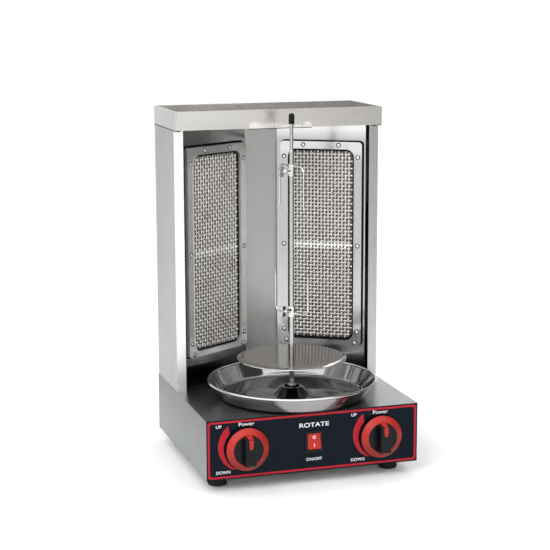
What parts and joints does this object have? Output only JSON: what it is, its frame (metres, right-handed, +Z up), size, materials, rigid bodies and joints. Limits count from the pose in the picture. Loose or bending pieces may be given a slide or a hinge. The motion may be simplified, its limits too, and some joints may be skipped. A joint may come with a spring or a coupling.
{
  "type": "vertical rotisserie broiler",
  "caption": "Countertop gas kebab machine: upright spit on a motor drive before angled ceramic burners, with drip pan, gas knobs, rocker switch and open top tray.",
  "frame": {"origin": "on the surface the feet stand on, below the middle of the machine's overall box", "axes": "+X the operator's right, +Y to the back, +Z up"},
  "size_m": [0.3, 0.322, 0.4963],
  "materials": {
    "casing_steel": "fine brushed",
    "polished_steel": "polished",
    "chromed_steel": "bright",
    "burner_steel": "plain mill finish",
    "mesh_wire": "woven wire",
    "burner_ceramic": "matt, perforated",
    "panel_print": "gloss print",
    "black_rubber": "matt",
    "black_plastic": "satin",
    "red_plastic": "satin",
    "brass": "machined",
    "gas_pipe_steel": "zinc plated",
    "machined_steel": "turned",
    "cast_aluminium": "die cast",
    "motor_paint": "satin",
    "gland_nylon": "moulded",
    "terminal_ceramic": "unglazed"
  },
  "bodies": {
    "housing": {"base_shell": "casing_steel", "base_front_plate": "casing_steel", "base_bottom_plate": "casing_steel", "left_side_panel": "casing_steel", "right_side_panel": "casing_steel", "back_panel": "casing_steel", "centre_panel": "casing_steel", "top_tray": "casing_steel", "spit_bracket": "casing_steel", "motor_bracket": "casing_steel", "left_reflector": "polished_steel", "right_reflector": "polished_steel", "left_burner_frame": "polished_steel", "right_burner_frame": "polished_steel", "case_screws": "chromed_steel", "burner_screws": "chromed_steel", "foot_screws": "chromed_steel", "left_burner_body": "burner_steel", "right_burner_body": "burner_steel", "left_burner_mesh": "mesh_wire", "right_burner_mesh": "mesh_wire", "left_burner_plaques": "burner_ceramic", "right_burner_plaques": "burner_ceramic", "control_panel_label": "panel_print", "rubber_feet": "black_rubber", "switch_bezel": "black_plastic", "gas_valves": "brass", "gas_injectors": "brass", "gas_inlet_fitting": "brass", "shaft_bush": "brass", "gas_manifold": "gas_pipe_steel", "left_gas_pipe": "gas_pipe_steel", "right_gas_pipe": "gas_pipe_steel", "gearbox_case": "cast_aluminium", "gearbox_cover": "cast_aluminium", "gear_motor": "motor_paint", "cable_gland": "gland_nylon", "terminal_block": "terminal_ceramic"},
    "drive": {"output_shaft": "machined_steel", "output_gear": "machined_steel", "drive_coupling": "chromed_steel"},
    "pinion": {"motor_pinion": "machined_steel"},
    "spit": {"spit_rod": "polished_steel", "spit_drive_pin": "polished_steel", "spit_cap": "black_plastic", "meat_disc": "polished_steel"},
    "upper_fork": {"upper_fork": "polished_steel"},
    "upper_screw": {"upper_wing_screw": "chromed_steel"},
    "lower_fork": {"lower_fork": "polished_steel"},
    "lower_screw": {"lower_wing_screw": "chromed_steel"},
    "drip_pan": {"drip_pan": "polished_steel"},
    "rocker": {"rocker_button": "red_plastic"},
    "left_stem": {"left_valve_stem": "machined_steel"},
    "left_knob": {"left_knob_skirt": "red_plastic", "left_knob_grip": "black_plastic"},
    "right_stem": {"right_valve_stem": "machined_steel"},
    "right_knob": {"right_knob_skirt": "red_plastic", "right_knob_grip": "black_plastic"}
  },
  "joints": [
    {"name": "drive_spin", "type": "hinge", "parent": "housing", "child": "drive", "pos_m": [0, -0.04, 0.1], "axis": [0, 0, 1], "continuous": true},
    {"name": "pinion_spin", "type": "hinge", "parent": "housing", "child": "pinion", "pos_m": [0, -0.012, 0.07], "axis": [0, 0, 1], "continuous": true},
    {"name": "spit_lift", "type": "slide", "parent": "drive", "child": "spit", "axis": [0, 0, 1], "range_m": [0, 0.013]},
    {"name": "upper_fork_slide", "type": "slide", "parent": "spit", "child": "upper_fork", "axis": [0, 0, 1], "range_m": [-0.06, 0.015]},
    {"name": "lower_fork_slide", "type": "slide", "parent": "spit", "child": "lower_fork", "axis": [0, 0, 1], "range_m": [-0.03, 0.02]},
    {"name": "upper_screw_turn", "type": "hinge", "parent": "upper_fork", "child": "upper_screw", "pos_m": [0, -0.04, 0.416], "axis": [-0.9659, -0.2588, 0], "range_deg": [0, 360]},
    {"name": "lower_screw_turn", "type": "hinge", "parent": "lower_fork", "child": "lower_screw", "pos_m": [0, -0.04, 0.2225], "axis": [-0.866, -0.5, 0], "range_deg": [0, 360]},
    {"name": "drip_pan_lift", "type": "slide", "parent": "housing", "child": "drip_pan", "axis": [0, 0, 1], "range_m": [0, 0.018]},
    {"name": "rocker_tip", "type": "hinge", "parent": "housing", "child": "rocker", "pos_m": [0, -0.133, 0.0605], "axis": [1, 0, 0], "range_deg": [0, 16]},
    {"name": "left_knob_push", "type": "slide", "parent": "housing", "child": "left_stem", "axis": [0, 1, 0], "range_m": [0, 0.004], "stiffness_N_per_m": 500},
    {"name": "left_knob_turn", "type": "hinge", "parent": "left_stem", "child": "left_knob", "pos_m": [-0.095, -0.14, 0.06], "axis": [0, -1, 0], "range_deg": [0, 150]},
    {"name": "right_knob_push", "type": "slide", "parent": "housing", "child": "right_stem", "axis": [0, 1, 0], "range_m": [0, 0.004], "stiffness_N_per_m": 500},
    {"name": "right_knob_turn", "type": "hinge", "parent": "right_stem", "child": "right_knob", "pos_m": [0.095, -0.14, 0.06], "axis": [0, -1, 0], "range_deg": [0, 150]}
  ],
  "couplings": [
    {"joint": "pinion_spin", "follows": "drive_spin", "ratio": -4}
  ]
}
